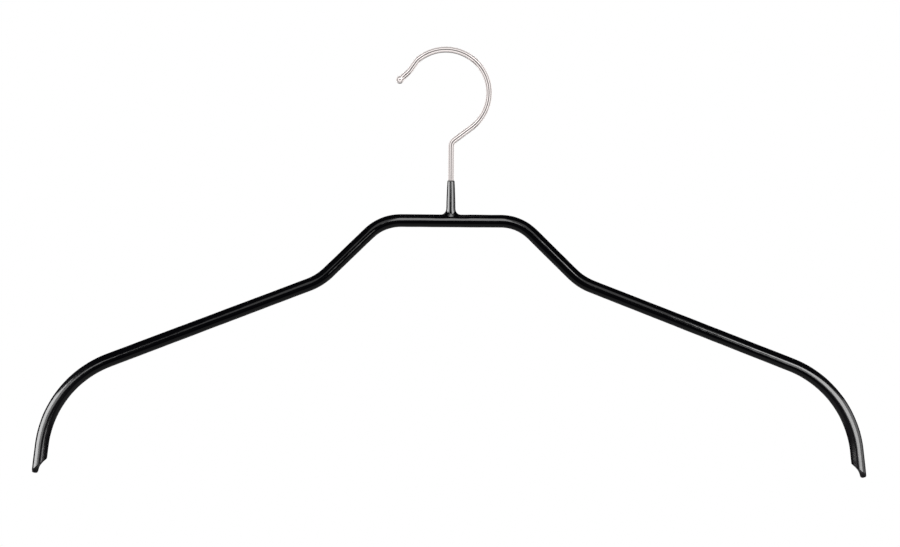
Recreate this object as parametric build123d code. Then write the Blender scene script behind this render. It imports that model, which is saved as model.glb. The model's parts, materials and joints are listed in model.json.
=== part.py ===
from build123d import *
import os
from math import cos, radians, sin

# Clothes hanger: a bent steel rod, dipped in soft vinyl, hangs from a wire hook that turns in a
# thin sleeve on top of the rod. Millimetres. The origin is where the hook sits on its rail, +Z is
# up, the hanger lies in the XZ plane and the hook opens towards -X.

# ---- hook: one bent wire with a ball on its free end ----
wire_d = 3.0                # hook wire
hook_r = 21.3               # round of the hook, to the wire's centre line
round_from = 128.0          # where the round starts, in degrees above +X
round_to = -53.0            # where it runs out into the straight towards the shank
shank_offset = 2.85         # swivel axis, to the right of the round's centre
shank_bend_r = 4.0          # bend between that straight and the shank
tail_lead = 1.2             # from the round's start to the corner of the tail
tail_slope = 55.0           # tail, degrees below level
tail_run = 6.8              # corner to corner
lip_slope = 42.0            # last straight, which leads the rail in
lip_run = 6.3               # corner to the ball's centre
tail_bend_r = 7.0           # both bends of the tail
ball_d = 4.0                # upset end of the wire

# ---- shoulders: the rod, symmetric about the swivel axis ----
hang_drop = 82.9            # rail seat down to the rod's centre line at the crossbar
rod_d = 5.0
bar_half = 24.75            # half of the straight crossbar
neck_bend_r = 22.1
neck_slope = 44.3           # degrees below level, between the crossbar and the shoulder
neck_run = 27.9
shoulder_bend_r = 28.0
shoulder_slope = 21.05
shoulder_run = 105.4
tip_bend_r = 51.6
tip_slope = 83.5
tip_run = 10.3
end_slope = 37.0            # the rod's ends are sheared at this angle, outer side longer

# ---- sleeve and swivel, heights above the crossbar's centre line ----
swivel_gap = 0.05           # running clearance round the shank
sleeve_wall = 0.25
sleeve_top = 16.2
shank_clear = 0.8           # from the shank's end to the rod
shank_chamfer = 0.3
groove_middle = 8.0         # groove in the shank, which the sleeve is crimped into
groove_depth = 0.3
groove_width = 1.2
crimp_play = 0.1            # up and down, each way
braze_r = 1.2               # concave fillet of braze round the sleeve's foot

# ---- coating ----
coat_bar = 0.65             # thickness on the crossbar, slopes and inner shoulders
coat_tip = 0.85             # thickness at the tips, where the dip drains
coat_foot = 0.70            # over the sleeve, at the crossbar's centre line
coat_sleeve_top = 0.15      # over the sleeve's top edge
collar_height = 3.7         # soft collar above the sleeve, round the shank
collar_wall = 0.2
neck_fillet = 2.4           # meniscus between the neck and the crossbar
end_round = 0.8             # round edge of the coated ends
drip_d = 3.1                # drop left at the low corner of each end
drip_out = 1.35             # the drop's axis, outside the middle of the end
drip_reach = 3.1            # the drop's lowest point, below the middle of the end
drip_round = 1.3

# ---- worked out from the above ----
wire_r = wire_d / 2
rod_r = rod_d / 2
bore_r = wire_r + swivel_gap
sleeve_r = bore_r + sleeve_wall
coat_bar_r = rod_r + coat_bar
coat_tip_r = rod_r + coat_tip
shank_end = rod_r + shank_clear
collar_top = sleeve_top + collar_height
crimp_half = groove_width / 2 - crimp_play
round_z = wire_r - hook_r


def flat(distance, angle):
    """A step of this length in the XZ plane, at this angle above +X."""
    return Vector(distance * cos(radians(angle)), 0, distance * sin(radians(angle)))


def walk(start, heading, steps):
    """The edges of a bent wire: each step is a run, then a bend's radius and turn, left positive."""
    edges = []
    here = start
    for run, radius, turn in steps:
        corner = here + flat(run, heading)
        if run:
            edges.append(Line(here, corner))
        here = corner
        if turn:
            side = 90 if turn > 0 else -90
            centre = corner + flat(radius, heading + side)
            halfway = centre + flat(radius, heading - side + turn / 2)
            heading += turn
            here = centre + flat(radius, heading - side)
            edges.append(ThreePointArc(corner, halfway, here))
    return edges


def across(path, at, radius):
    """A disc square to a path, at its start (0) or end (1)."""
    return Plane(origin=path @ at, z_dir=path % at) * Circle(radius)


def tube(edges, radius):
    """A round bar along joined edges."""
    path = Wire(edges)
    return sweep(across(path, 0, radius), path=path)


def post(radius, low, high):
    """An upright cylinder on the Z axis."""
    base = (Align.CENTER, Align.CENTER, Align.MIN)
    return Pos(0, 0, low) * Cylinder(radius, high - low, align=base)


def turned(*points):
    """A solid turned about the Z axis from an outline of (radius, height) points."""
    outline = Polyline(*[Vector(r, 0, z) for r, z in points], close=True)
    return revolve(make_face(outline), axis=Axis.Z)


def on_round(angle):
    """A point on the centre line of the hook's round."""
    return Vector(0, 0, round_z) + flat(hook_r, angle)


# ---- the rod's centre line, measured from the crossbar's centre ----
slope_turn = neck_slope - shoulder_slope
tip_turn = tip_slope - shoulder_slope
right_half = walk(Vector(0, 0, 0), 0, [
    (bar_half, neck_bend_r, -neck_slope),
    (neck_run, shoulder_bend_r, slope_turn),
    (shoulder_run, tip_bend_r, -tip_turn),
    (tip_run, 0, 0),
])
slope_line, inner_bend, shoulder_line, tip_bend, tip_line = right_half[2:7]
rod_end = tip_line @ 1
tip_overrun = 2 * coat_tip_r


def mirrored(point):
    return Vector(-point.X, point.Y, point.Z)


def middle_edges():
    """From the left shoulder's inner end to the right one's, over the crossbar."""
    start = mirrored(shoulder_line @ 0)
    return walk(start, shoulder_slope, [
        (0, shoulder_bend_r, slope_turn),
        (neck_run, neck_bend_r, -neck_slope),
        (2 * bar_half, neck_bend_r, -neck_slope),
        (neck_run, shoulder_bend_r, slope_turn),
    ])


def tip_edges(overrun):
    """The right tip: its bend and its run, longer by overrun."""
    longer = Line(tip_line @ 0, rod_end + flat(overrun, -tip_slope))
    return [tip_bend, longer]


def beyond_end(shift):
    """Everything past the right end's sheared face, moved out along its normal by shift."""
    face = rod_end + flat(shift, -90 - end_slope)
    block = 10 * coat_tip_r
    square = Rectangle(block, block)
    return extrude(Plane(origin=face, z_dir=flat(1, -90 - end_slope)) * square, block)


def both_ends(solid):
    return [solid, mirror(solid, about=Plane.YZ)]


def shoulder_rod():
    """One length of steel rod, bent cold, sheared at both ends."""
    rod = tube(middle_edges(), rod_r)
    wing = tube([shoulder_line, *tip_edges(tip_overrun)], rod_r) - beyond_end(-coat_tip)
    return rod.fuse(*both_ends(wing)).clean()


def waisted(radius, reach):
    """A post as high as the sleeve, with a waist as deep as the groove, up and down by reach."""
    waist = radius - groove_depth
    return turned(
        (0, 0),
        (radius, 0),
        (radius, groove_middle - reach),
        (waist, groove_middle - reach),
        (waist, groove_middle + reach),
        (radius, groove_middle + reach),
        (radius, sleeve_top),
        (0, sleeve_top),
    )


def neck_sleeve(rod):
    """Thin steel tube, coped to sit on the rod and crimped into the shank's groove."""
    return sleeve_blank() - waisted(bore_r, crimp_half) - rod


def sleeve_blank():
    """The sleeve's outside, where the crimping roller leaves a narrower groove than inside."""
    return waisted(sleeve_r, crimp_half - sleeve_wall)


def crossed(bar_r, bar_length, upright, radius):
    """An upright joined to a level bar, with a fillet round the corner between them."""
    joined = Rot(0, 90, 0) * Cylinder(bar_r, bar_length) + upright
    corner = joined.edges().filter_by(GeomType.BSPLINE)
    return fillet(corner, radius)


def braze_fillet(rod):
    """Ring of braze in the corner between sleeve and rod."""
    foot = post(sleeve_r, 0, groove_middle - groove_width)
    filled = crossed(rod_r, 2 * bar_half, foot, braze_r)
    return filled - rod - post(sleeve_r, -rod_r, sleeve_top)


def coated_end():
    """Right half of the coating's outside: shoulder, tip and the drop at its low corner."""
    shoulder = loft([
        across(shoulder_line, 0, coat_bar_r),
        across(shoulder_line, 1, coat_tip_r),
    ])
    tip = tube(tip_edges(tip_overrun), coat_tip_r) - beyond_end(0)
    face = tip.faces().sort_by(Axis.Z)[0]
    tip = fillet(face.edges(), end_round)
    drop_low = rod_end.Z - drip_reach
    drop = Pos(rod_end.X + drip_out, 0, 0) * post(drip_d / 2, drop_low, rod_end.Z + drip_d)
    drop = fillet(drop.edges().group_by(Axis.Z)[0], drip_round)
    return shoulder + tip + drop


def coating(rod, braze):
    """The dipped vinyl skin, solid but for what it covers and the bore for the shank."""
    neck = turned(
        (0, 0),
        (sleeve_r + coat_foot, 0),
        (sleeve_r + coat_sleeve_top, sleeve_top),
        (bore_r + collar_wall, collar_top),
        (0, collar_top),
    )
    middle = crossed(coat_bar_r, 2 * bar_half, neck, neck_fillet)
    skin = tube(middle_edges(), coat_bar_r) + middle
    for end in both_ends(coated_end()):
        skin += end
    return skin - sleeve_blank() - post(bore_r, sleeve_top, collar_top) - rod - braze


def swivel_hook():
    """Plated wire: ball, tail, round, straight and the grooved shank."""
    tail_corner = on_round(round_from) + flat(tail_lead, round_from + 90)
    lip_corner = tail_corner + flat(tail_run, 180 + tail_slope)
    ball = lip_corner + flat(lip_run, 180 + lip_slope)
    tail = FilletPolyline(ball, lip_corner, tail_corner, on_round(round_from), radius=tail_bend_r)
    halfway = on_round((round_from + round_to) / 2)
    bow = ThreePointArc(on_round(round_from), halfway, on_round(round_to))
    straight = (on_round(round_to).X - shank_offset) / cos(radians(round_to + 90))
    shank_corner = on_round(round_to) + flat(straight, round_to - 90)
    foot = Vector(shank_offset, 0, shank_end - hang_drop)
    lead = FilletPolyline(on_round(round_to), shank_corner, foot, radius=shank_bend_r)
    wire = tube([*tail.edges(), bow, *lead.edges()], wire_r) + Pos(*ball) * Sphere(ball_d / 2)
    end_face = wire.faces().sort_by(Axis.Z)[0]
    wire = chamfer(end_face.edges(), shank_chamfer)
    low = groove_middle - groove_width / 2
    high = groove_middle + groove_width / 2
    ring = post(wire_d, low, high) - post(wire_r - groove_depth, low, high)
    return wire - Pos(shank_offset, 0, -hang_drop) * ring


rod = shoulder_rod()
sleeve = neck_sleeve(rod)
braze = braze_fillet(rod)
at_crossbar = Pos(shank_offset, 0, -hang_drop)
pieces = {
    "swivel_hook": swivel_hook(),
    "shoulder_rod": at_crossbar * rod,
    "neck_sleeve": at_crossbar * sleeve,
    "braze_fillet": at_crossbar * braze,
    "vinyl_coating": at_crossbar * coating(rod, braze),
}

os.makedirs("parts", exist_ok=True)
for name, piece in pieces.items():
    export_step(piece, f"parts/{name}.step")
    print(name, len(piece.solids()), round(piece.volume, 1))
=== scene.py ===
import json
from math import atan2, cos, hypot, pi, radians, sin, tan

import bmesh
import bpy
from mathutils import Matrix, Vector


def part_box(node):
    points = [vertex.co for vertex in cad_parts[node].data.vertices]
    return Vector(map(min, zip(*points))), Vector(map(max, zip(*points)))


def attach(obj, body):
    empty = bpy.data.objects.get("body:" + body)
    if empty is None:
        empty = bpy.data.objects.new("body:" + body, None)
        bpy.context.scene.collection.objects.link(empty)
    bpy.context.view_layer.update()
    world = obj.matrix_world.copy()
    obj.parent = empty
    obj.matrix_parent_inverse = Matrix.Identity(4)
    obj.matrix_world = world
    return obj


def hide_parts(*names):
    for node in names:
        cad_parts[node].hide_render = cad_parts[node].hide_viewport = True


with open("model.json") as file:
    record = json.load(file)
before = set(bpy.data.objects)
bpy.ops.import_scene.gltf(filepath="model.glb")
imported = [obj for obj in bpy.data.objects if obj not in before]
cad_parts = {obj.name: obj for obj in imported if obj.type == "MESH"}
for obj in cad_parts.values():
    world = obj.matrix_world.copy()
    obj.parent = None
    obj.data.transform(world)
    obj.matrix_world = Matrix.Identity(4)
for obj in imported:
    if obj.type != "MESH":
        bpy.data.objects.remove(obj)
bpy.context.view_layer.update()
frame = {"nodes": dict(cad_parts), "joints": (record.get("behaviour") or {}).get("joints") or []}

# %% [markdown]
# # A coated metal hanger
# The hanger is a bent steel rod in a skin of black vinyl, under a plated wire hook that turns in
# the neck. The construction model already holds every piece at its real size. Here the two
# pieces that show, the skin and the hook, are modelled again with the soft shapes that dipping
# and plating leave, and every piece gets its finish.

MM = 0.001

rod_low, rod_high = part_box("shoulder_rod")
skin_low, skin_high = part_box("vinyl_coating")
hook_low, hook_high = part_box("swivel_hook")

swivel_x = frame["joints"][0]["pos_m"][0]
rod_r = rod_high.y
bar_z = rod_high.z - rod_r
tip_r = skin_high.y
collar_z = skin_high.z
wire_r = hook_high.z / 2
round_r = hook_high.x - wire_r
print("swivel axis", swivel_x, "crossbar", bar_z, "wire", wire_r, "hook's round", round_r)

# %% [markdown]
# ## Walking a ring along bent wire
# Rod and wire are round stock bent in one plane. A sweep along a curve would do, but then the
# thickness is the same all the way. By hand, a circle is extruded along each straight and spun
# round each bend, so every ring can swell, tilt or shrink. The pen below remembers where the
# selected ring is and which way it heads. Headings are degrees above +X, as seen from the front.

# %% A ring and the pen that walks it
SIDES = 32
SWELL = 1 / (2 / 3 + cos(2 * pi / SIDES) / 3)   # a subdivided ring shrinks by this much


def flat(distance, heading):
    """A step in the hanger's plane."""
    return Vector((distance * cos(radians(heading)), 0, distance * sin(radians(heading))))


def new_ring(name, centre, radius, heading):
    """A circle of edges, square to its heading, selected in edit mode; returns its pen."""
    bpy.ops.object.select_all(action="DESELECT")
    turn = (0, radians(90 - heading), 0)
    bpy.ops.mesh.primitive_circle_add(vertices=SIDES, radius=radius * SWELL, location=centre, rotation=turn)
    bpy.context.object.name = name
    bpy.ops.object.transform_apply(location=True, rotation=True, scale=True)
    bpy.ops.object.mode_set(mode="EDIT")
    bpy.ops.mesh.select_all(action="SELECT")
    return {"at": Vector(centre), "heading": heading, "radius": radius}


def grow(pen, radius):
    """Scale the selected ring to a new radius."""
    ratio = radius / pen["radius"]
    if abs(ratio - 1) > 1e-6:
        bpy.ops.transform.resize(value=(ratio, ratio, ratio), center_override=pen["at"])
    pen["radius"] = radius


def run(pen, length, steps=1, radius=None):
    """Extrude the ring straight on, growing evenly to the new radius."""
    start = pen["radius"]
    goal = start if radius is None else radius
    for step in range(steps):
        move = flat(length / steps, pen["heading"])
        bpy.ops.mesh.extrude_region_move(TRANSFORM_OT_translate={"value": move})
        pen["at"] += move
        grow(pen, start + (goal - start) * (step + 1) / steps)


def bend(pen, radius, turn, steps):
    """Spin the ring round a bend; left turns are positive."""
    side = 90 if turn > 0 else -90
    centre = pen["at"] + flat(radius, pen["heading"] + side)
    bpy.ops.mesh.spin(steps=steps, angle=radians(turn), center=centre, axis=(0, 1, 0))
    pen["heading"] += turn
    pen["at"] = centre + flat(radius, pen["heading"] - side)


def pole(pen):
    """Close the selected ring in a point."""
    bpy.ops.mesh.extrude_region_move(TRANSFORM_OT_translate={"value": (0, 0, 0)})
    bpy.ops.mesh.merge(type="CENTER")


def select_where(obj, test):
    """Select the vertices that pass a test on their place, and what lies between them."""
    bpy.ops.mesh.select_all(action="DESELECT")
    mesh = bmesh.from_edit_mesh(obj.data)
    for vertex in mesh.verts:
        vertex.select = test(vertex.co)
    mesh.select_flush(True)
    bmesh.update_edit_mesh(obj.data)


def apply_modifier(obj, kind, **settings):
    """Add one modifier, set it and apply it."""
    modifier = obj.modifiers.new(kind.title(), kind)
    for key, value in settings.items():
        setattr(modifier, key, value)
    bpy.context.view_layer.objects.active = obj
    bpy.ops.object.modifier_apply(modifier=modifier.name)


def finish_mesh(obj):
    """Leave edit mode with faces outwards and smooth shading."""
    bpy.ops.mesh.select_all(action="SELECT")
    bpy.ops.mesh.normals_make_consistent(inside=False)
    bpy.ops.object.mode_set(mode="OBJECT")
    bpy.ops.object.select_all(action="DESELECT")
    obj.select_set(True)
    bpy.ops.object.shade_smooth()
    size = obj.dimensions
    print(obj.name, len(obj.data.polygons), "faces", [round(side / MM, 2) for side in size], "mm")


# %% [markdown]
# ## The hook
# The real hook is spring wire: one end is upset into a ball, the rest is bent round a mandrel,
# and a groove is rolled near the end of the shank, before it is nickel and chrome plated. It is
# walked from the shank's end, so that the shank stays exactly on the swivel axis.

# %% Hook, from the shank's end to the ball
shank_bend_r = 4.0 * MM
straight_slope = 37.0           # degrees above level, from the shank to the round
round_turn = 181.0              # the hook's round
tail_bend_r = 7.0 * MM
tail_turn = 17.0                # tighter towards the tail
lip_turn = -13.0                # and back, where the lip leads the rail in
ball_r = 2.0 * MM
tail_lead = 1.2 * MM            # along the corners of the tail, before it is rounded
tail_run = 6.8 * MM
lip_run = 6.3 * MM
groove_r = wire_r - 0.3 * MM
groove_z = bar_z + 8.0 * MM     # the groove's middle
groove_half = 0.60 * MM
groove_edge = 0.06 * MM         # rings this close keep the groove's edges crisp
chamfer = 0.3 * MM

shank_foot = Vector((swivel_x, 0, hook_low.z))
pen = new_ring("hook_wire", shank_foot, wire_r - chamfer, 90)
hook = bpy.context.object
run(pen, chamfer, radius=wire_r)
run(pen, groove_z - groove_half - groove_edge - pen["at"].z, steps=3)
run(pen, groove_edge)
run(pen, groove_edge, radius=groove_r)
run(pen, 2 * (groove_half - groove_edge), steps=2)
run(pen, groove_edge, radius=wire_r)
run(pen, groove_edge)

round_centre = Vector((0, 0, 2 * wire_r - hook_high.z - (round_r - wire_r)))
round_start = round_centre + flat(round_r, straight_slope - 90)
shank_corner_z = round_start.z - (round_start.x - swivel_x) * tan(radians(straight_slope))
corner_turn = straight_slope - 90
corner_reach = shank_bend_r * tan(radians(-corner_turn / 2))
run(pen, shank_corner_z - corner_reach - pen["at"].z, steps=16)
bend(pen, shank_bend_r, corner_turn, 8)
run(pen, (round_start - pen["at"]).length, steps=6)
bend(pen, round_r, round_turn, 72)

tail_reach = tail_bend_r * tan(radians(tail_turn / 2))
lip_reach = tail_bend_r * tan(radians(-lip_turn / 2))
run(pen, tail_lead - tail_reach)
bend(pen, tail_bend_r, tail_turn, 4)
run(pen, tail_run - tail_reach - lip_reach, steps=4)
bend(pen, tail_bend_r, lip_turn, 4)
ball_centre = pen["at"] + flat(lip_run - lip_reach, pen["heading"])

# %% [markdown]
# The upset ball is a swelling of the same wire, so its rings carry on from the lip: each takes
# the radius that a ball has at that distance, with a short fillet where it leaves the wire.

# %% Ball on the free end
run(pen, (ball_centre - pen["at"]).length - 1.15 * ball_r, steps=3)
run(pen, 0.25 * ball_r, radius=1.03 * wire_r)
run(pen, 0.20 * ball_r, radius=0.80 * ball_r)
for place in (-0.5, -0.22, 0.06, 0.34, 0.58, 0.77, 0.91, 0.98):
    ahead = ball_centre + flat(place * ball_r, pen["heading"]) - pen["at"]
    run(pen, ahead.length, radius=ball_r * (1 - place * place) ** 0.5)
pole(pen)

select_where(hook, lambda place: place.z < shank_foot.z + 0.01 * MM)
pole(pen)
finish_mesh(hook)
apply_modifier(hook, "SUBSURF", levels=1, render_levels=1)
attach(hook, "hook")
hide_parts("swivel_hook")

# %% [markdown]
# ## The vinyl skin
# The brazed frame is heated, dipped in liquid vinyl and hung up by its neck to gel. The skin is
# thin up the neck, thicker towards the tips, and the last of it runs to the low corner of each
# sheared end and sets there as a drop. Both arms are walked outwards from the crossbar, and the
# ring tilts at the end until it lies along the sheared face.

# %% Arms of the skin
bar_half = 24.75 * MM
patch_half = 4.8 * MM           # half of the stretch that the neck grows from
neck_bend_r = 22.1 * MM
neck_slope = 44.3               # slopes are degrees below level
neck_run = 27.9 * MM
shoulder_bend_r = 28.0 * MM
shoulder_slope = 21.05
shoulder_run = 105.4 * MM
tip_bend_r = 51.6 * MM
tip_slope = 83.5
tip_run = 10.3 * MM
end_shift = 9.0 * MM            # where the end's shaping starts, before the end of the run
bar_r = rod_r + 0.65 * MM


def tilt_ring(pen, ahead, out, in_plane, through, tilt, side):
    """Extrude the ring on and out, stretch it in and across the plane, and tilt it so far."""
    move = flat(ahead, pen["heading"]) + flat(out, pen["heading"] + 90 * side)
    bpy.ops.mesh.extrude_region_move(TRANSFORM_OT_translate={"value": move})
    pen["at"] += move
    wide, deep = in_plane / pen["in_plane"], through / pen["through"]
    bpy.ops.transform.resize(value=(wide, deep, wide), center_override=pen["at"])
    turn = radians(pen["tilt"] - tilt) * side
    bpy.ops.transform.rotate(value=turn, orient_axis="Y", center_override=pen["at"])
    pen.update(in_plane=in_plane, through=through, tilt=tilt)


# each ring of an end, in mm and degrees: on, outwards, half width, half depth, tilt
FACE_RINGS = [                  # the tube tilts into the sheared face, which closes in
    (2.2, 0.00, 3.42, 3.35, 12),
    (1.8, 0.00, 3.62, 3.35, 22),
    (1.5, 0.00, 3.95, 3.35, 32),
    (1.3, 0.00, 4.35, 3.35, 40),
    (0.9, 0.00, 4.58, 3.34, 43),
    (0.185, 0.040, 4.57, 3.33, 44),
    (0.265, 0.120, 4.39, 3.20, 45),
    (0.375, 0.275, 4.00, 2.95, 46),
    (0.525, 0.390, 3.41, 2.60, 46),
    (0.605, 0.390, 2.74, 2.20, 44),
    (0.630, 0.295, 2.13, 1.85, 39),
]
DROP_RINGS = [                  # and what runs off the face hangs as a drop
    (0.565, 0.125, 1.74, 1.65, 29),
    (0.490, 0.005, 1.51, 1.50, 17),
    (0.375, 0.000, 1.30, 1.30, 7),
    (0.235, 0.000, 0.95, 0.95, 0),
    (0.130, 0.000, 0.50, 0.50, 0),
]


def walk_arm(pen, side, drop_length, drop_width):
    """From the crossbar's patch to the drop at the end; side is 1 to the right, -1 to the left."""
    run(pen, bar_half - patch_half, steps=12)
    bend(pen, neck_bend_r, -side * neck_slope, 12)
    run(pen, neck_run, steps=16)
    bend(pen, shoulder_bend_r, side * (neck_slope - shoulder_slope), 8)
    run(pen, shoulder_run, steps=60, radius=tip_r)
    bend(pen, tip_bend_r, -side * (tip_slope - shoulder_slope), 34)
    run(pen, tip_run - end_shift)
    pen.update(in_plane=pen["radius"], through=pen["radius"], tilt=0)
    for rings, length, width in ((FACE_RINGS, 1, 1), (DROP_RINGS, drop_length, drop_width)):
        for ahead, out, in_plane, through, tilt in rings:
            in_plane *= width * MM
            through *= width * MM
            tilt_ring(pen, ahead * length * MM, out * MM, in_plane, through, tilt, side)
    pole(pen)


start = Vector((swivel_x - patch_half, 0, bar_z))
pen = new_ring("vinyl_skin", start, bar_r, 0)
skin = bpy.context.object
run(pen, 2 * patch_half, steps=6)
walk_arm(pen, 1, drop_length=1.0, drop_width=1.0)

select_where(skin, lambda place: abs(place.x - start.x) < 0.01 * MM and abs(place.z - bar_z) < 2 * bar_r)
pen = {"at": start.copy(), "heading": 180, "radius": bar_r}
walk_arm(pen, -1, drop_length=1.15, drop_width=1.05)

# %% [markdown]
# ## The neck
# Where the skin climbs from the crossbar onto the sleeve, surface tension leaves a meniscus. A
# boolean of two tubes would give a hard seam, so a patch is deleted from the top of the crossbar
# and its edge is bridged to a ring round the neck, which is then drawn up to the soft collar and
# turned in and down to the rod.

# %% Neck and collar
meniscus_top = 6.3 * MM         # heights on the neck are above the crossbar's middle
sleeve_top = 16.2 * MM
collar_top = collar_z - bar_z
rim_start = collar_top - 0.5 * MM
foot_r = 2.50 * MM
sleeve_top_r = 1.95 * MM
collar_r = 1.75 * MM
bore_r = wire_r + 0.055 * MM
bore_foot = rod_r + 0.2 * MM    # just clear of the rod
patch_side = radians(56)        # how far down the crossbar the patch reaches, from its top


def neck_radius(height):
    """The skin's radius on the neck, which tapers to the sleeve's top and on to the collar."""
    if height < sleeve_top:
        return foot_r + (sleeve_top_r - foot_r) * height / sleeve_top
    up_collar = (height - sleeve_top) / (collar_top - sleeve_top)
    return sleeve_top_r + (collar_r - sleeve_top_r) * up_collar


bpy.ops.mesh.select_all(action="DESELECT")
bpy.ops.mesh.select_mode(type="FACE")
cage = bmesh.from_edit_mesh(skin.data)
cage.normal_update()
for face in cage.faces:
    middle = face.calc_center_median()
    near = abs(middle.x - swivel_x) < patch_half
    face.select = near and atan2(abs(middle.y), middle.z - bar_z) < patch_side
bmesh.update_edit_mesh(skin.data)
bpy.ops.mesh.delete(type="FACE")
bpy.ops.mesh.select_mode(type="VERT")

neck_at = Vector((swivel_x, 0, bar_z + meniscus_top))
neck_start_r = neck_radius(meniscus_top)
bpy.ops.mesh.primitive_circle_add(vertices=SIDES, radius=neck_start_r * SWELL, location=neck_at)
bpy.ops.mesh.select_all(action="DESELECT")
bpy.ops.mesh.select_non_manifold()
bpy.ops.mesh.bridge_edge_loops(number_cuts=6, interpolation="PATH", smoothness=0.6)
bpy.ops.mesh.select_all(action="DESELECT")
bpy.ops.mesh.select_non_manifold()

pen = {"at": neck_at.copy(), "heading": 90, "radius": neck_start_r}
for step in range(1, 17):
    height = meniscus_top + (rim_start - meniscus_top) * step / 16
    run(pen, bar_z + height - pen["at"].z, radius=neck_radius(height))
# the soft rim: in, over, and down the bore
run(pen, 0.30 * MM, radius=1.69 * MM)
run(pen, 0.14 * MM, radius=1.63 * MM)
run(pen, 0.02 * MM, radius=1.58 * MM)
run(pen, -0.14 * MM, radius=bore_r + 0.01 * MM)
run(pen, -0.40 * MM, radius=bore_r)
run(pen, bar_z + bore_foot - pen["at"].z, steps=8)
pole(pen)
finish_mesh(skin)

# %% [markdown]
# ## The meniscus, and the waves of a dip
# The bridged patch is laid onto the construction model's own fillet, so that the visible neck
# keeps the real outline, and is smoothed. One round of subdivision rounds every ring. A dipped
# skin is never quite true: it gels with slow waves a few hundredths of a millimetre deep, which
# show only in the way highlights wander, so a cloud texture pushes the surface by that much.

# %% Meniscus, smooth rings, waves


def weigh(obj, name, weight):
    """A vertex group whose weight is a function of the vertex's place."""
    group = obj.vertex_groups.new(name=name)
    for vertex in obj.data.vertices:
        amount = weight(vertex.co)
        if amount > 0:
            group.add([vertex.index], amount, "REPLACE")
    return group.name


def axis_reach(place):
    """How far a place lies from the swivel axis."""
    return hypot(place.x - swivel_x, place.y)


def in_meniscus(place):
    """All of the outside of the bridged stretch, and none of the bore."""
    height = place.z - bar_z
    return 1.0 if 1.2 * MM < height < 8 * MM and 1.8 * MM < axis_reach(place) < 9 * MM else 0.0


def in_waves(place):
    """Full along the arms, and fading out at the neck, which stays true."""
    beyond_neck = (axis_reach(place) - 2.6 * MM) / (6 * MM)
    above_bar = place.z - bar_z - 4 * MM
    return 0.0 if above_bar > 0 else min(1.0, max(0.0, beyond_neck))


meniscus = weigh(skin, "meniscus", in_meniscus)
apply_modifier(skin, "SHRINKWRAP", target=frame["nodes"]["vinyl_coating"], vertex_group=meniscus)
apply_modifier(skin, "SMOOTH", factor=0.5, iterations=2, vertex_group=meniscus)
apply_modifier(skin, "SUBSURF", levels=1)

waves = weigh(skin, "waves", in_waves)
clouds = bpy.data.textures.new("slow waves", "CLOUDS")
clouds.noise_scale = 9 * MM
apply_modifier(skin, "DISPLACE", texture=clouds, texture_coords="LOCAL", mid_level=0.5,
               strength=0.12 * MM, vertex_group=waves)
skin.vertex_groups.clear()
bpy.ops.object.mode_set(mode="EDIT")
finish_mesh(skin)

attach(skin, "shoulders")
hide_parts("vinyl_coating")

# %% [markdown]
# ## Finishes
# Colours are written as sRGB and turned to linear light in one place. A small helper adds a
# shader node with its settings and links. Patterns run in object space, in metres, so a grain of
# 1.2 mm is a scale of one over 1.2 mm.

# %% Helpers for materials


def paint(code):
    """An sRGB #RRGGBB colour as linear RGBA."""
    parts = [int(code[place:place + 2], 16) / 255 for place in (1, 3, 5)]
    return [part / 12.92 if part <= 0.04045 else ((part + 0.055) / 1.055) ** 2.4 for part in parts] + [1.0]


def add(tree, kind, sockets=None, **settings):
    """Add a node; a socket is given a value or another node's output."""
    node = tree.nodes.new(kind)
    for key, value in settings.items():
        setattr(node, key, value)
    for key, value in (sockets or {}).items():
        if isinstance(value, bpy.types.NodeSocket):
            tree.links.new(value, node.inputs[key])
        else:
            node.inputs[key].default_value = value
    return node


def new_material(name):
    """An empty material; returns it, its tree and the object's own coordinates."""
    material = bpy.data.materials.new(name)
    material.use_nodes = True
    tree = material.node_tree
    tree.nodes.clear()
    return material, tree, add(tree, "ShaderNodeTexCoord").outputs["Object"]


def close(tree, shader):
    """Link the finished shader to the material's output."""
    add(tree, "ShaderNodeOutputMaterial", {"Surface": shader.outputs[0]})


def wear(obj, material):
    """Give a piece its finish."""
    obj.data.materials.clear()
    obj.data.materials.append(material)
    print(obj.name, "is", material.name, "with", len(material.node_tree.nodes), "nodes")


# %% [markdown]
# ### Black vinyl, dipped and gelled glossy
# Plastisol sets with a wet gloss from its own surface tension: near black, with an index of about
# 1.53. Two things keep it from looking like glass: a fine orange peel that softens the edges of
# every highlight, and slower waves that make them wander. Handling leaves a dull bloom in
# patches, most of all at the tips, where the hanger is held and knocks against its neighbours.

# %% Black vinyl
vinyl, tree, place = new_material("Black vinyl plastisol, dipped and gelled glossy")
bloom = add(tree, "ShaderNodeTexNoise", {"Vector": place, "Scale": 1 / (14 * MM), "Detail": 3.0})
across = add(tree, "ShaderNodeSeparateXYZ", {"Vector": place})
off_axis = add(tree, "ShaderNodeMath", {0: across.outputs["X"], 1: swivel_x}, operation="SUBTRACT")
reach = add(tree, "ShaderNodeMath", {0: off_axis.outputs[0]}, operation="ABSOLUTE")
# 0 along the shoulders, 1 at the tips, where hands and other hangers rub; it dulls the gloss there (wear) and
# also lifts the colour there (a painted sheen)
tips = add(tree, "ShaderNodeMapRange", {"Value": reach.outputs[0], "From Min": 0.175, "From Max": 0.203})
gloss = add(tree, "ShaderNodeMapRange", {"Value": bloom.outputs["Fac"], "From Min": 0.35,
                                         "From Max": 0.7, "To Min": 0.075, "To Max": 0.13})
dulled = add(tree, "ShaderNodeMath", {0: tips.outputs[0], 1: 0.10, 2: gloss.outputs[0]},
             operation="MULTIPLY_ADD")
peel = add(tree, "ShaderNodeTexNoise", {"Vector": place, "Scale": 1 / (1.2 * MM), "Detail": 2.0})
slow = add(tree, "ShaderNodeTexNoise", {"Vector": place, "Scale": 1 / (6 * MM), "Detail": 1.0})
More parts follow.
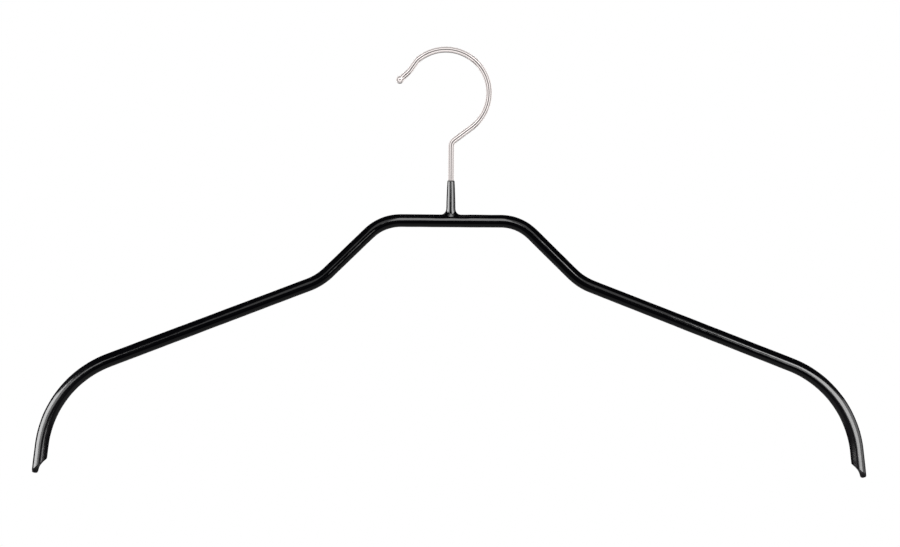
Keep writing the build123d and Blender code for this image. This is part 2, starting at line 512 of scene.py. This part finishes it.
# the slow waves are deeper than the orange peel, and five times as wide
slow_bump = add(tree, "ShaderNodeBump", {"Height": slow.outputs["Fac"], "Distance": 0.05 * MM,
                                         "Strength": 1.0})
peel_bump = add(tree, "ShaderNodeBump", {"Height": peel.outputs["Fac"], "Distance": 0.006 * MM,
                                         "Strength": 1.0, "Normal": slow_bump.outputs[0]})
# painted sheen: the tips are painted a slightly lighter grey, standing in for their broad highlights
tip_painted_sheen = add(tree, "ShaderNodeMix", {"Factor": tips.outputs[0], 6: paint("#020203"), 7: paint("#0C0B0D")},
           data_type="RGBA")
close(tree, add(tree, "ShaderNodeBsdfPrincipled", {
    "Base Color": tip_painted_sheen.outputs[2], "Roughness": dulled.outputs[0], "IOR": 1.53,
    "Normal": peel_bump.outputs[0]}))
wear(skin, vinyl)

# %% [markdown]
# ### Bright nickel-chrome on spring wire
# Bright plating mirrors the studio in thin lines along the wire. The nickel
# under the thin chromium keeps it a little warm, and the drawn wire below leaves faint ripples
# that break the lines up.

# %% Chrome wire
chrome, tree, place = new_material("Nickel-chrome plate on drawn spring wire")
ripple = add(tree, "ShaderNodeTexNoise", {"Vector": place, "Scale": 1 / (2.5 * MM), "Detail": 2.0})
# faint ripples left by drawing and bending the wire
ripple_bump = add(tree, "ShaderNodeBump", {"Height": ripple.outputs["Fac"], "Distance": 0.012 * MM,
                                           "Strength": 1.0})
haze = add(tree, "ShaderNodeTexNoise", {"Vector": place, "Scale": 1 / (9 * MM), "Detail": 4.0})
# a thumbed, slightly hazy plate in places
sheen = add(tree, "ShaderNodeMapRange", {"Value": haze.outputs["Fac"], "From Min": 0.4, "From Max": 0.7,
                                         "To Min": 0.05, "To Max": 0.12})
close(tree, add(tree, "ShaderNodeBsdfPrincipled", {
    "Base Color": paint("#EDE5E3"), "Metallic": 1.0, "Roughness": sheen.outputs[0],
    "Normal": ripple_bump.outputs[0]}))
wear(hook, chrome)

# %% [markdown]
# ### The hidden core: drawn rod, drawn sleeve and brass braze
# These stay as the construction model made them, since their shapes are plain drawn stock. The
# skin covers them, so they only show if somebody takes the skin off.

# %% Steel and brass
steel, tree, place = new_material("Low-carbon steel rod, cold drawn")
scale_marks = add(tree, "ShaderNodeTexNoise", {"Vector": place, "Scale": 1 / (3 * MM), "Detail": 3.0})
# patches of drawing soap dull the drawn surface
dull = add(tree, "ShaderNodeMapRange", {"Value": scale_marks.outputs["Fac"], "To Min": 0.28, "To Max": 0.42})
close(tree, add(tree, "ShaderNodeBsdfPrincipled", {
    "Base Color": paint("#A7A5A1"), "Metallic": 1.0, "Roughness": dull.outputs[0]}))
wear(frame["nodes"]["shoulder_rod"], steel)

tube, tree, place = new_material("Low-carbon steel tube, cold drawn and deburred")
# a drawn tube is brighter and more even than the rod
close(tree, add(tree, "ShaderNodeBsdfPrincipled", {
    "Base Color": paint("#B4B2AE"), "Metallic": 1.0, "Roughness": 0.25}))
wear(frame["nodes"]["neck_sleeve"], tube)

brass, tree, place = new_material("Brass braze, as flowed")
frost = add(tree, "ShaderNodeTexNoise", {"Vector": place, "Scale": 1 / (0.6 * MM), "Detail": 2.0})
# flux leaves flowed brass slightly frosted
frost_bump = add(tree, "ShaderNodeBump", {"Height": frost.outputs["Fac"], "Distance": 0.01 * MM,
                                          "Strength": 1.0})
close(tree, add(tree, "ShaderNodeBsdfPrincipled", {
    "Base Color": paint("#C9A24B"), "Metallic": 1.0, "Roughness": 0.35, "Normal": frost_bump.outputs[0]}))
wear(frame["nodes"]["braze_fillet"], brass)

# %% [markdown]
# ## Floor, backdrop and camera
# The hanger hangs from its hook in front of plain white, with a plain floor well below it. The
# camera stands square in front, level with the middle of the hanger, about an arm's length and a
# half away, and is rolled by a third of a degree because the hanger hangs slightly turned.

# %% Floor, backdrop and camera
bpy.ops.mesh.primitive_plane_add(size=2.4, location=(swivel_x, 0.62, -0.95))
floor = bpy.context.object
floor.name = "studio_floor"
pale, tree, place = new_material("Pale matt studio floor")
path = add(tree, "ShaderNodeLightPath")
# as white as the backdrop to the camera, far dimmer in what the vinyl mirrors
glow = add(tree, "ShaderNodeMapRange", {"Value": path.outputs["Is Camera Ray"], "To Min": 0.2, "To Max": 1.0})
close(tree, add(tree, "ShaderNodeEmission", {"Color": paint("#FFFFFF"), "Strength": glow.outputs[0]}))
wear(floor, pale)

world = bpy.data.worlds.new("White backdrop")
bpy.context.scene.world = world
world.use_nodes = True
tree = world.node_tree
tree.nodes.clear()
path = add(tree, "ShaderNodeLightPath")
seen = add(tree, "ShaderNodeMath", {0: path.outputs["Is Camera Ray"], 1: path.outputs["Is Transmission Ray"]},
           operation="MAXIMUM")
# white where the camera sees it, and dim where it would only wash out the black
level = add(tree, "ShaderNodeMapRange", {"Value": seen.outputs[0], "To Min": 0.015, "To Max": 1.0})
backdrop = add(tree, "ShaderNodeBackground", {"Color": (1, 1, 1, 1), "Strength": level.outputs[0]})
add(tree, "ShaderNodeOutputWorld", {"Surface": backdrop.outputs[0]})

camera_far = 1.1
view_wide = 0.44325
aim = Vector((2.65 * MM, 0, -108.8 * MM))
bpy.ops.object.camera_add(location=aim + Vector((0, -camera_far, 0)), rotation=(pi / 2, 0, 0))
camera = bpy.context.object
camera.rotation_euler.rotate_axis("Z", radians(0.38))
camera.data.sensor_width = 36
camera.data.lens = 36 * camera_far / view_wide
bpy.context.scene.camera = camera
print("camera", camera_far, "m in front, lens", round(camera.data.lens, 1), "mm")
bpy.context.scene.view_settings.view_transform = "Standard"

# %% [markdown]
# ## Light
# Black vinyl only shows what it mirrors, and chrome mirrors everything, so one set of lamps cannot
# flatter both. As a studio flags lamps off one part and sets white cards for the other, each
# lamp is linked to the skin or to the hook: strong narrow boxes for the skin, big soft cards for
# the hook.

# %% Lamps
skin_only = bpy.data.collections.new("lit with the skin")
hook_only = bpy.data.collections.new("lit with the hook")
skin_only.objects.link(skin)
hook_only.objects.link(hook)
for hidden in ("shoulder_rod", "neck_sleeve", "braze_fillet"):
    skin_only.objects.link(frame["nodes"][hidden])


def soft_box(name, place, wide, tall, radiance, lit, facing=aim):
    """A rectangular lamp that faces a point and lights one set of pieces."""
    bpy.ops.object.light_add(type="AREA", location=place)
    lamp = bpy.context.object
    lamp.name = name
    lamp.rotation_euler = (Vector(facing) - Vector(place)).to_track_quat("-Z", "Y").to_euler()
    lamp.data.shape = "RECTANGLE"
    lamp.data.size = wide
    lamp.data.size_y = tall
    lamp.data.energy = 4 * radiance * wide * tall
    lamp.visible_camera = False
    lamp.light_linking.receiver_collection = lit
    print(name, [round(side, 2) for side in lamp.location], round(lamp.data.energy, 1), "W,", lit.name)


soft_box("key", (0.02, -0.92, 0.36), 0.26, 0.70, 3.0, skin_only)
soft_box("key wings", (0.04, -0.94, 0.36), 0.95, 0.62, 0.75, skin_only)
soft_box("left box", (-0.90, -0.33, -0.05), 0.80, 0.56, 9.0, skin_only)
soft_box("left inner box", (-0.53, -0.80, -0.14), 0.40, 0.42, 2.6, skin_only)
soft_box("right box", (0.66, -0.75, -0.05), 0.75, 0.56, 7.5, skin_only)
soft_box("right outer box", (1.05, -0.12, 0.02), 0.75, 0.50, 1.5, skin_only)
soft_box("right low box", (0.34, -0.88, -0.30), 0.26, 0.34, 2.5, skin_only)

soft_box("front card", (0.0, -1.15, -0.02), 0.50, 0.50, 0.28, hook_only)
soft_box("left card", (-0.62, -0.80, -0.02), 0.55, 1.6, 1.1, hook_only)
soft_box("right card", (0.62, -0.80, -0.02), 0.55, 1.6, 1.1, hook_only)
soft_box("top card", (0.0, -0.80, 0.62), 1.0, 0.55, 1.1, hook_only)
soft_box("low card", (0.0, -0.80, -0.66), 1.0, 0.55, 1.1, hook_only)
soft_box("left side card", (-1.10, -0.10, -0.02), 0.8, 2.2, 0.5, hook_only)
soft_box("right side card", (1.10, -0.10, -0.02), 0.8, 2.2, 0.5, hook_only)
soft_box("high card", (0.0, -0.10, 1.10), 2.2, 0.8, 0.5, hook_only)
soft_box("floor card", (0.0, -0.10, -0.90), 1.6, 0.8, 0.5, hook_only)
soft_box("left back card", (-0.75, 0.75, -0.02), 0.9, 1.6, 1.10, hook_only)
soft_box("right back card", (0.75, 0.75, -0.02), 0.9, 1.6, 1.10, hook_only)
soft_box("high back card", (0.0, 0.75, 0.75), 1.2, 0.7, 1.10, hook_only)
